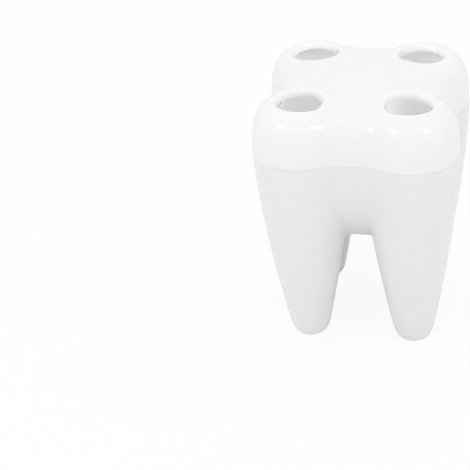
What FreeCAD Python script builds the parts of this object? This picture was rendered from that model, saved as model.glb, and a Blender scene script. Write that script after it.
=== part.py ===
import FreeCAD, Part
import math
import os

# Toothbrush holder in the shape of a molar: a root body on four hollow legs, and a crown lid
# with one oval hole above each leg. Millimetres, floor at zero, +Z up, front towards -Y.

# Heights of the whole tooth
seam_z = 80.2          # joint between root body and lid
crown_high = 20.1      # rise of the lid above the seam, before its shoulder is rounded
cusp_z = seam_z + crown_high
roof_z = 37.9          # underside of the body between the legs
wall = 2.4             # wall of both mouldings

# Legs, from the feet up to the seam
foot_x = 19.7
foot_y = 19.5
foot_r = 6.6
foot_sink = 0.3        # depth by which the rounded tip is cut flat
foot_round = 6.6
seam_x = 19.6          # centres of the round columns at the seam and in the lid
seam_y = 19.2
seam_r = 17.6
leg_fullness = 1.53    # how early the legs reach their full girth

# Web that joins the legs into one body
web_x = 32.9
web_y = 32.7
arch_z = 34.0          # level below the roof from which the web widens
arch_x = 19.2
arch_y = 7.0
web_fullness = 2.5     # how early the web reaches its full width
web_corner = 9.0
web_round = 4.8
roof_round = 8.0
column_round = 7.0

# Crown
shoulder = 23.0
dish = 1.2             # depth of the level cross between the four cusps

# Brush holes
hole_x = 19.5
hole_y = 19.4
hole_wide = 16.4
hole_deep = 14.2
rim_round = 1.8
hole_overrun = 5.0     # length of the cutter beyond the top of the lid

# Joint of lid and body
lip_high = 4.0         # lip of the body inside the lid
skirt = 1.1            # wall of the lid outside the lip
lip_gap = 0.2          # clearance between skirt and lip
seam_gap = 0.1         # fine open line left between the two outer edges

# Fineness of the sampled skins
round_steps = 20       # steps along the seam of one quarter
rise_steps = 28        # steps from seam to summit, or from foot to seam
march = 1.0            # step of the search along a ray
sharpness = 1e-9       # where the search ends
probe = 1e-3           # step for the slope of a skin
arrive = 24.0          # how directly the rows of the legs run up to their borders
ray_depth = 12.0       # how far below the seam the rays of the lid start
sole_reach = 1e-4      # how far above the floor an edge of a sole may lie


def blend_min(a, b, reach):
    """Smaller of two distances, rounded where they come within reach of each other."""
    near = max(reach - abs(a - b), 0) / reach
    return min(a, b) - near ** 3 * reach / 6


def blend_max(a, b, reach):
    """Larger of two distances, rounded in the same way."""
    return -blend_min(-a, -b, reach)


def share(low, high, part):
    """Value a given part of the way from low to high."""
    return low + (high - low) * part


def columns(x, y, centre_x, centre_y, radius):
    """Distance to four round columns placed evenly about the middle."""
    own = math.hypot(abs(x) - centre_x, abs(y) - centre_y) - radius
    beside = math.hypot(abs(x) + centre_x, abs(y) - centre_y) - radius
    behind = math.hypot(abs(x) - centre_x, abs(y) + centre_y) - radius
    return blend_min(blend_min(own, beside, column_round), behind, column_round)


def web(x, y, half_x, half_y):
    """Distance to the upright block between the columns."""
    return blend_max(abs(x) - half_x, abs(y) - half_y, web_corner)


def root_skin(x, y, z):
    """Distance to the outside of the root body, below zero inside it."""
    climb = min(max(z / seam_z, 0), 1)
    girth = share(foot_r, seam_r, 1 - (1 - climb) ** leg_fullness)
    legs = columns(x, y, share(foot_x, seam_x, climb), share(foot_y, seam_y, climb), girth)
    legs = blend_max(legs, -foot_sink - z, foot_round)
    lift = min(max((z - arch_z) / (seam_z - arch_z), 0), 1)
    lift = 1 - (1 - lift) ** web_fullness
    block = web(x, y, share(arch_x, web_x, lift), share(arch_y, web_y, lift))
    block = blend_max(block, roof_z - z, roof_round)
    return blend_min(legs, block, web_round)


def crown_top(x, y):
    """Height of the lid's top: a cusp at each hole, and a level cross between the cusps."""
    across = (1 - math.cos(math.pi * min(abs(x) / hole_x, 1))) / 2
    along = (1 - math.cos(math.pi * min(abs(y) / hole_y, 1))) / 2
    return cusp_z - dish * (1 - across * along)


def crown_skin(x, y, z):
    """Distance to the outside of the lid without its holes: the seam's outline, rounded over."""
    return blend_max(root_skin(x, y, seam_z), z - crown_top(x, y), shoulder)


def lid_core(x, y, z):
    """Distance to the hollow of the lid."""
    return crown_skin(x, y, z) + wall


def root_core(x, y, z):
    """Distance to the hollow of the root body."""
    return root_skin(x, y, z) + wall


def cast(skin, start, aim):
    """Point where a ray from inside leaves the skin."""
    aim = FreeCAD.Vector(aim).normalize()
    inside = 0
    outside = march
    while skin(*(start + aim * outside)) < 0:
        inside = outside
        outside = outside + march
    while outside - inside > sharpness:
        middle = (inside + outside) / 2
        if skin(*(start + aim * middle)) < 0:
            inside = middle
        else:
            outside = middle
    return start + aim * inside


def laid_in(skin, row, beside, beyond):
    """Slopes from a border row towards the rows next to it, laid into the skin."""
    slopes = []
    for points in zip(row, beside, beyond):
        x, y, z = points[0]
        normal = FreeCAD.Vector(
            skin(x + probe, y, z) - skin(x - probe, y, z),
            skin(x, y + probe, z) - skin(x, y - probe, z),
            skin(x, y, z + probe) - skin(x, y, z - probe)).normalize()
        across = end_slope(points)
        slopes.append(across - normal * across.dot(normal))
    return slopes


def poles_through(points, first, last):
    """Control points of the even cubic curve through points, with the given end slopes."""
    weights = [2] + [4] * (len(points) - 2) + [2]
    sums = [points[0] * 3 + first] + [point * 6 for point in points[1:-1]] + [points[-1] * 3 - last]
    for i in range(1, len(points)):
        weights[i] = weights[i] - 1 / weights[i - 1]
        sums[i] = sums[i] - sums[i - 1] * (1 / weights[i - 1])
    poles = [sums[-1] * (1 / weights[-1])]
    for i in reversed(range(len(points) - 1)):
        poles.insert(0, (sums[i] - poles[0]) * (1 / weights[i]))
    return [poles[1] - first * 2] + poles + [poles[-2] + last * 2]


def end_slope(points):
    """Slope at the first of a run of points."""
    return (points[1] * 4 - points[0] * 3 - points[2]) * 0.5


def row_poles(points):
    """Control points of the even cubic curve through a row with free ends."""
    return poles_through(points, end_slope(points), end_slope(points[::-1]) * -1)


def knots_for(poles):
    """Even knots for a run of control points, counted from the first point on the curve."""
    return [float(i) for i in range(-3, len(poles) + 1)]


def face_through(skin, grid, first, last):
    """Smooth face through rows of points, with slopes across its first and its last row."""
    stations = list(zip(*grid))
    starts = laid_in(skin, *stations[:3])
    ends = [slope * -1 for slope in laid_in(skin, *stations[:-4:-1])]
    rows = [poles_through(*row) for row in zip(grid, starts, ends)]
    lanes = [poles_through(*lane) for lane in zip(zip(*rows), row_poles(first), row_poles(last))]
    table = [list(line) for line in zip(*lanes)]
    lane_knots = knots_for(table)
    row_knots = knots_for(table[0])
    surface = Part.BSplineSurface()
    surface.buildFromPolesMultsKnots(
        table, [1] * len(lane_knots), [1] * len(row_knots), lane_knots, row_knots, False, False, 3, 3)
    surface.segment(0, len(grid) - 1, 0, len(grid[0]) - 1)
    return surface.toShape()


def turn(i):
    """Angle after i steps of a quarter turn."""
    return math.pi / 2 * i / round_steps


def level_point(skin, level, i):
    """Point of a skin at one level, i steps around the quarter."""
    aim = FreeCAD.Vector(math.cos(turn(i)), math.sin(turn(i)), 0)
    return cast(skin, FreeCAD.Vector(0, 0, level), aim)


def mirrored(shapes):
    """The shapes of one quarter with their copies in the other three."""
    side = [s.mirror(FreeCAD.Vector(0, 0, 0), FreeCAD.Vector(1, 0, 0)) for s in shapes]
    half = shapes + side
    return half + [s.mirror(FreeCAD.Vector(0, 0, 0), FreeCAD.Vector(0, 1, 0)) for s in half]


def outline(skin, level, raised_to):
    """Closed run of four edges around a skin at one level, lifted to another level."""
    points = [level_point(skin, level, i) for i in range(-1, round_steps + 2)]
    first = (points[2] - points[0]) * 0.5
    last = (points[-1] - points[-3]) * 0.5
    poles = poles_through(points[1:-1], first, last)
    knots = knots_for(poles)
    curve = Part.BSplineCurve()
    curve.buildFromPolesMultsKnots(poles, [1] * len(knots), knots, False, 3)
    curve.segment(0, round_steps)
    edge = curve.toShape()
    edge.translate(FreeCAD.Vector(0, 0, raised_to - level))
    return mirrored([edge])


def ring_face(outer, inner):
    """Flat face between two outlines at one level."""
    wires = [Part.Wire(Part.__sortEdges__(edges)) for edges in (outer, inner)]
    return Part.makeFace(wires, "Part::FaceMakerBullseye")


def upright(edges, rise):
    """Upright faces standing on the edges of an outline."""
    return [edge.extrude(FreeCAD.Vector(0, 0, rise)) for edge in edges]


def solid_of(faces):
    """One closed solid sewn from faces that share their borders."""
    skin = Part.Compound(faces)
    skin.sewShape()
    solid = Part.Solid(skin.Shells[0])
    if solid.Volume < 0:
        solid.reverse()
    return solid


def dome(skin, base):
    """Four faces of the lid's skin from a base level up to the summit."""
    grid = []
    for i in range(-1, round_steps + 2):
        edge = level_point(skin, base, i)
        first_pitch = math.atan2(ray_depth, math.hypot(edge.x, edge.y))
        row = []
        for k in range(rise_steps + 1):
            pitch = share(first_pitch, math.pi / 2, k / rise_steps)
            flat = math.cos(pitch)
            aim = FreeCAD.Vector(flat * math.cos(turn(i)), flat * math.sin(turn(i)), math.sin(pitch))
            row.append(cast(skin, FreeCAD.Vector(0, 0, base - ray_depth), aim))
        grid.append(row)
    first = [(b - a) * 0.5 for a, b in zip(grid[0], grid[2])]
    last = [(b - a) * 0.5 for a, b in zip(grid[-3], grid[-1])]
    return mirrored([face_through(skin, grid[1:-1], first, last)])


def seam_border(skin, i):
    """Border of the leg faces along the seam, from the side to the back."""
    return level_point(skin, seam_z, i)


def back_border(skin, i):
    """Border from the seam down the middle of the back and along the roof to its middle."""
    aim = FreeCAD.Vector(0, math.cos(turn(i)), -math.sin(turn(i)))
    return cast(skin, FreeCAD.Vector(0, 0, seam_z), aim)


def side_border(skin, i):
    """Border from the middle of the roof up the middle of the side to the seam."""
    aim = FreeCAD.Vector(math.sin(turn(i)), 0, -math.cos(turn(i)))
    return cast(skin, FreeCAD.Vector(0, 0, seam_z), aim)


def leg_face(skin, floor, border, ring_from, ring_span, ways):
    """Face from a part of the sole's ring up to a border. The rows run up to the border squarely,
    and halfway between the two borders where two of them meet."""
    start = FreeCAD.Vector(seam_x, seam_y, seam_z)
    foot = FreeCAD.Vector(foot_x, foot_y, floor)
    before, square, after = [FreeCAD.Vector(*way) for way in ways]

    def ends(i):
        angle = ring_from + ring_span * i / round_steps
        aim = FreeCAD.Vector(math.cos(angle), math.sin(angle), 0)
        return cast(skin, foot, aim), border(skin, i)

    grid = []
    for i in range(round_steps + 1):
        low, high = ends(i)
        along = i / round_steps
        way = square + before * (1 - along) ** 2 + after * along ** 2
        row = []
        for k in range(rise_steps + 1):
            up = k / rise_steps
            target = low + (high - low) * up + (high - low - way * arrive) * up * (1 - up)
            row.append(cast(skin, start, target - start))
        grid.append(row)
    first = laid_in(skin, grid[0], grid[1], grid[2])
    last = [slope * -1 for slope in laid_in(skin, grid[-1], grid[-2], grid[-3])]
    for slopes, i in ((first, 0), (last, round_steps)):
        behind = ends(i - 1)
        ahead = ends(i + 1)
        slopes[0] = (ahead[0] - behind[0]) * 0.5
        slopes[-1] = (ahead[1] - behind[1]) * 0.5
    return face_through(skin, grid, first, last)


def legs_of(skin, floor):
    """Faces of the root body's skin in all quarters, from flat soles up to the seam."""
    to_back = (-1, 0, 0)
    to_side = (0, -1, 0)
    to_seam = (0, 0, 1)
    quarter = math.pi / 2
    outer_turn = -math.pi / 4
    faces = [leg_face(skin, floor, seam_border, outer_turn, quarter * 2, (to_side, to_seam, to_back))]
    back_turn = outer_turn + quarter * 2
    faces.append(leg_face(skin, floor, back_border, back_turn, quarter, (to_seam, to_back, to_side)))
    side_turn = back_turn + quarter
    faces.append(leg_face(skin, floor, side_border, side_turn, quarter, (to_back, to_side, to_seam)))
    soles = [edge for face in faces for edge in face.Edges if edge.BoundBox.ZMax < floor + sole_reach]
    faces.append(Part.Face(Part.Wire(Part.__sortEdges__(soles))))
    return mirrored(faces)


def root_outline(inset, raised_to):
    """Outline of the root body at the seam, set in by the given depth."""
    return outline(lambda x, y, z: root_skin(x, y, z) + inset, seam_z, raised_to)


def root_body():
    """Body with its lip: outer skin, inner skin, shoulder of the joint and the lip's faces."""
    lip_foot = root_outline(skirt + lip_gap, seam_z)
    lip_head = root_outline(skirt + lip_gap, seam_z + lip_high)
    inner = root_outline(wall, seam_z)
    inner_head = root_outline(wall, seam_z + lip_high)
    faces = legs_of(root_skin, 0) + legs_of(root_core, wall)
    faces.append(ring_face(root_outline(0, seam_z), lip_foot))
    faces.extend(upright(lip_foot, lip_high))
    faces.append(ring_face(lip_head, inner_head))
    faces.extend(upright(inner, lip_high))
    return solid_of(faces)


def hole_cutter(x, y):
    """Upright oval bar that cuts one brush hole."""
    centre = FreeCAD.Vector(x, y, seam_z)
    tips = [centre + FreeCAD.Vector(hole_wide / 2, 0, 0), centre + FreeCAD.Vector(0, hole_deep / 2, 0)]
    longer, shorter = sorted(tips, key=centre.distanceToPoint, reverse=True)
    oval = Part.Ellipse(longer, shorter, centre)
    face = Part.Face(Part.Wire(oval.toShape()))
    return face.extrude(FreeCAD.Vector(0, 0, crown_high + hole_overrun))


def crown_lid():
    """Lid with its skirt, the step that rests on the lip, and four rounded holes."""
    base = seam_z + seam_gap
    step = seam_z + lip_high
    skirt_foot = root_outline(skirt, base)
    skirt_head = root_outline(skirt, step)
    faces = dome(crown_skin, base) + dome(lid_core, step)
    faces.append(ring_face(outline(crown_skin, base, base), skirt_foot))
    faces.extend(upright(skirt_foot, step - base))
    faces.append(ring_face(skirt_head, outline(lid_core, step, step)))
    lid = solid_of(faces)
    for side in (1, -1):
        for row in (1, -1):
            lid = lid.cut(hole_cutter(side * hole_x, row * hole_y))
    rims = []
    for edge in lid.Edges:
        on_outside = crown_skin(*edge.Vertexes[0].Point) > -wall / 2
        if edge.Closed and on_outside:
            rims.append(edge)
    return lid.makeFillet(rim_round, rims)


os.makedirs("parts", exist_ok=True)
root_body().exportStep("parts/root_body.step")
crown_lid().exportStep("parts/crown_lid.step")
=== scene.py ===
import math
import bpy
from mathutils import Matrix, Vector

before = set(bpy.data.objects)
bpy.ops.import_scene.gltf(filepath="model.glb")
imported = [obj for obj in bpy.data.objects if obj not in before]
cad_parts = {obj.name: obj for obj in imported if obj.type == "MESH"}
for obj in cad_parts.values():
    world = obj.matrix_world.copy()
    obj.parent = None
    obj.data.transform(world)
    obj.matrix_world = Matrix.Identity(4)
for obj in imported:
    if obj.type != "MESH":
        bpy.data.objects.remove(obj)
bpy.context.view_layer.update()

# Toothbrush holder in the shape of a molar. Metres, in the frame of the solids:
# table at zero, +Z up, front towards -Y.

# Root body
# The lower half of the tooth, one hollow moulding of white gloss plastic on four blunt legs.
# Light passes a little way into its wall, which softens the shading.


def moulded_finish():
    """Node group for polished moulded plastic: clouded melt, gloss worn by handling, faint relief."""
    cloud_detail = 3.0
    haze_scale = 95.0
    haze_detail = 5.0
    haze_swirl = 0.8
    haze_low = 0.35
    haze_high = 0.70
    group = bpy.data.node_groups.new("moulded_finish", "ShaderNodeTree")
    for name in ("Cloud Scale", "Peel Scale"):
        group.interface.new_socket(name, in_out="INPUT", socket_type="NodeSocketFloat")
    for name in ("Cloud", "Haze", "Relief"):
        group.interface.new_socket(name, in_out="OUTPUT", socket_type="NodeSocketFloat")
    nodes, links = group.nodes, group.links
    inputs = nodes.new("NodeGroupInput")
    outputs = nodes.new("NodeGroupOutput")
    place = nodes.new("ShaderNodeTexCoord")

    cloud = nodes.new("ShaderNodeTexNoise")
    cloud.inputs["Detail"].default_value = cloud_detail
    links.new(place.outputs["Object"], cloud.inputs["Vector"])
    links.new(inputs.outputs["Cloud Scale"], cloud.inputs["Scale"])
    links.new(cloud.outputs["Fac"], outputs.inputs["Cloud"])

    haze = nodes.new("ShaderNodeTexNoise")
    haze.inputs["Scale"].default_value = haze_scale
    haze.inputs["Detail"].default_value = haze_detail
    haze.inputs["Distortion"].default_value = haze_swirl
    links.new(place.outputs["Object"], haze.inputs["Vector"])
    spread = nodes.new("ShaderNodeMapRange")
    spread.inputs["From Min"].default_value = haze_low
    spread.inputs["From Max"].default_value = haze_high
    links.new(haze.outputs["Fac"], spread.inputs["Value"])
    links.new(spread.outputs["Result"], outputs.inputs["Haze"])

    peel = nodes.new("ShaderNodeTexNoise")
    links.new(place.outputs["Object"], peel.inputs["Vector"])
    links.new(inputs.outputs["Peel Scale"], peel.inputs["Scale"])
    links.new(peel.outputs["Fac"], outputs.inputs["Relief"])
    return group


finish_group = moulded_finish()


def white_plastic(name, light, dim, gloss, dull, mirror, depth):
    """White moulded plastic that lets light through its wall to the given depth."""
    refraction = 1.49
    cloud_scale = 28.0
    peel_scale = 260.0
    peel_strength = 0.06
    peel_depth = 0.0002
    material = bpy.data.materials.new(name)
    material.use_nodes = True
    nodes, links = material.node_tree.nodes, material.node_tree.links
    shader = nodes["Principled BSDF"]
    shader.inputs["IOR"].default_value = refraction
    shader.inputs["Specular IOR Level"].default_value = mirror
    shader.inputs["Subsurface Weight"].default_value = 1.0
    shader.inputs["Subsurface Radius"].default_value = (1.0, 1.0, 1.0)
    shader.inputs["Subsurface Scale"].default_value = depth

    finish = nodes.new("ShaderNodeGroup")
    finish.node_tree = finish_group
    finish.inputs["Cloud Scale"].default_value = cloud_scale
    finish.inputs["Peel Scale"].default_value = peel_scale

    tone = nodes.new("ShaderNodeMix")
    tone.data_type = "RGBA"
    tone.inputs["A"].default_value = dim
    tone.inputs["B"].default_value = light
    links.new(finish.outputs["Cloud"], tone.inputs["Factor"])
    links.new(tone.outputs["Result"], shader.inputs["Base Color"])

    sheen = nodes.new("ShaderNodeMapRange")
    sheen.inputs["To Min"].default_value = gloss
    sheen.inputs["To Max"].default_value = dull
    links.new(finish.outputs["Haze"], sheen.inputs["Value"])
    links.new(sheen.outputs["Result"], shader.inputs["Roughness"])

    relief = nodes.new("ShaderNodeBump")
    relief.inputs["Strength"].default_value = peel_strength
    relief.inputs["Distance"].default_value = peel_depth
    links.new(finish.outputs["Relief"], relief.inputs["Height"])
    links.new(relief.outputs["Normal"], shader.inputs["Normal"])
    return material


root_white = (0.770, 0.770, 0.766, 1.0)
root_shade = (0.750, 0.750, 0.746, 1.0)
root_gloss = 0.12
root_dull = 0.20
root_mirror = 0.30
root_depth = 0.0015
root_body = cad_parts["root_body"]
root_plastic = white_plastic(
    "root_gloss_plastic", root_white, root_shade, root_gloss, root_dull, root_mirror, root_depth)
root_body.data.materials.clear()
root_body.data.materials.append(root_plastic)

# Crown lid
# The upper half of the tooth, a cap moulded in the same plastic with one oval hole in each cusp.
# It drops over the lip of the root body and is lifted off for cleaning. Its plastic is a shade whiter.
crown_white = (0.814, 0.814, 0.812, 1.0)
crown_shade = (0.798, 0.798, 0.796, 1.0)
crown_gloss = 0.13
crown_dull = 0.19
crown_mirror = 0.50
crown_depth = 0.0008
crown_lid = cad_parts["crown_lid"]
crown_plastic = white_plastic(
    "crown_gloss_plastic", crown_white, crown_shade, crown_gloss, crown_dull, crown_mirror, crown_depth)

# Painted glow: the skirt's lower edge emits a faint light that stands in for the light its thin wall
# leads down, so the seam is a faint line.
skirt_foot = 0.08031
painted_glow_color = (0.22, 0.22, 0.22, 1.0)
no_light = (0.0, 0.0, 0.0, 1.0)
crown_nodes, crown_links = crown_plastic.node_tree.nodes, crown_plastic.node_tree.links
crown_shader = crown_nodes["Principled BSDF"]
crown_shader.inputs["Emission Strength"].default_value = 1.0
crown_place = crown_nodes.new("ShaderNodeTexCoord")
crown_axes = crown_nodes.new("ShaderNodeSeparateXYZ")
crown_links.new(crown_place.outputs["Object"], crown_axes.inputs["Vector"])
at_foot = crown_nodes.new("ShaderNodeMath")
at_foot.operation = "LESS_THAN"
at_foot.inputs[1].default_value = skirt_foot
crown_links.new(crown_axes.outputs["Z"], at_foot.inputs[0])
# The painted glow is mixed in below the skirt's foot and fed to the emission colour.
painted_skirt_glow = crown_nodes.new("ShaderNodeMix")
painted_skirt_glow.data_type = "RGBA"
painted_skirt_glow.inputs["A"].default_value = no_light
painted_skirt_glow.inputs["B"].default_value = painted_glow_color
crown_links.new(at_foot.outputs["Value"], painted_skirt_glow.inputs["Factor"])
crown_links.new(painted_skirt_glow.outputs["Result"], crown_shader.inputs["Emission Color"])
crown_lid.data.materials.clear()
crown_lid.data.materials.append(crown_plastic)

# Table
# A plain white table top, far larger than the picture. It is lit through from below like a light
# table in a product studio, so the holder's shadow on it stays faint.
table_size = 6.0
table_white = (0.84, 0.84, 0.84, 1.0)
table_dull = 0.9
table_glow = 0.88
bpy.ops.object.select_all(action="DESELECT")
bpy.ops.mesh.primitive_plane_add(size=table_size)
table = bpy.context.object
table.name = "table"
table_top = bpy.data.materials.new("table_top")
table_top.use_nodes = True
table_nodes, table_links = table_top.node_tree.nodes, table_top.node_tree.links
table_shader = table_nodes["Principled BSDF"]
table_shader.inputs["Base Color"].default_value = table_white
table_shader.inputs["Roughness"].default_value = table_dull
table_shader.inputs["Specular IOR Level"].default_value = 0.0
glow = table_nodes.new("ShaderNodeEmission")
table_ray = table_nodes.new("ShaderNodeLightPath")
glow_share = table_nodes.new("ShaderNodeMath")
glow_share.operation = "MULTIPLY"
glow_share.inputs[1].default_value = table_glow
table_links.new(table_ray.outputs["Is Camera Ray"], glow_share.inputs[0])
table_mix = table_nodes.new("ShaderNodeMixShader")
table_links.new(glow_share.outputs["Value"], table_mix.inputs["Fac"])
table_links.new(table_shader.outputs["BSDF"], table_mix.inputs[1])
table_links.new(glow.outputs["Emission"], table_mix.inputs[2])
table_links.new(table_mix.outputs["Shader"], table_nodes["Material Output"].inputs["Surface"])
table.data.materials.append(table_top)

# Studio light
# An even white room, small lamps that glint on the crown, and a faint lamp in the hollow that
# stands for the light the thin walls let through.
room_light = 1.0
room_white = (1.0, 1.0, 1.0, 1.0)
room = bpy.data.worlds.new("studio_room")
bpy.context.scene.world = room
room.use_nodes = True
backdrop = room.node_tree.nodes["Background"]
backdrop.inputs["Color"].default_value = room_white
backdrop.inputs["Strength"].default_value = room_light

# The small lamps are turned about the crown from the front, and raised, in degrees.
crown_middle = Vector((0.0, 0.0, 0.09))
glint_distance = 1.0
glint_size = 0.12
glint_power = 1.20
for side, turn, height in (("left", -42.0, 36.0), ("right", 51.0, 40.0)):
    glint_data = bpy.data.lights.new(side + "_glint", "AREA")
    glint_data.size = glint_size
    glint_data.energy = glint_power
    glint = bpy.data.objects.new(side + "_glint", glint_data)
    bpy.context.scene.collection.objects.link(glint)
    around, up = math.radians(turn), math.radians(height)
    back = Vector((math.sin(around) * math.cos(up), -math.cos(around) * math.cos(up), math.sin(up)))
    glint.location = crown_middle + back * glint_distance
    glint.rotation_mode = "QUATERNION"
    glint.rotation_quaternion = (-back).to_track_quat("-Z", "Y")

hollow_middle = (0.0, 0.0, 0.075)
hollow_lamp_size = 0.015
hollow_power = 0.0215
hollow_data = bpy.data.lights.new("hollow_lamp", "POINT")
hollow_data.shadow_soft_size = hollow_lamp_size
hollow_data.energy = hollow_power
hollow_lamp = bpy.data.objects.new("hollow_lamp", hollow_data)
bpy.context.scene.collection.objects.link(hollow_lamp)
hollow_lamp.location = hollow_middle
hollow_lamp.visible_camera = False
hollow_lamp.visible_glossy = False

# Camera
# It looks down on the holder from the front, a little from the right, tilted as the photograph is.
camera_place = (0.08168, -0.51883, 0.37055)
camera_turn = 14.448
camera_height = 32.596
camera_tilt = 5.113
camera_lens = 124.71
camera_data = bpy.data.cameras.new("camera")
camera_data.lens = camera_lens
camera = bpy.data.objects.new("camera", camera_data)
bpy.context.scene.collection.objects.link(camera)
camera.matrix_world = (
    Matrix.Translation(camera_place)
    @ Matrix.Rotation(math.radians(camera_turn), 4, "Z")
    @ Matrix.Rotation(math.radians(90.0 - camera_height), 4, "X")
    @ Matrix.Rotation(-math.radians(camera_tilt), 4, "Z")
)
bpy.context.scene.camera = camera
bpy.context.scene.view_settings.view_transform = "Standard"
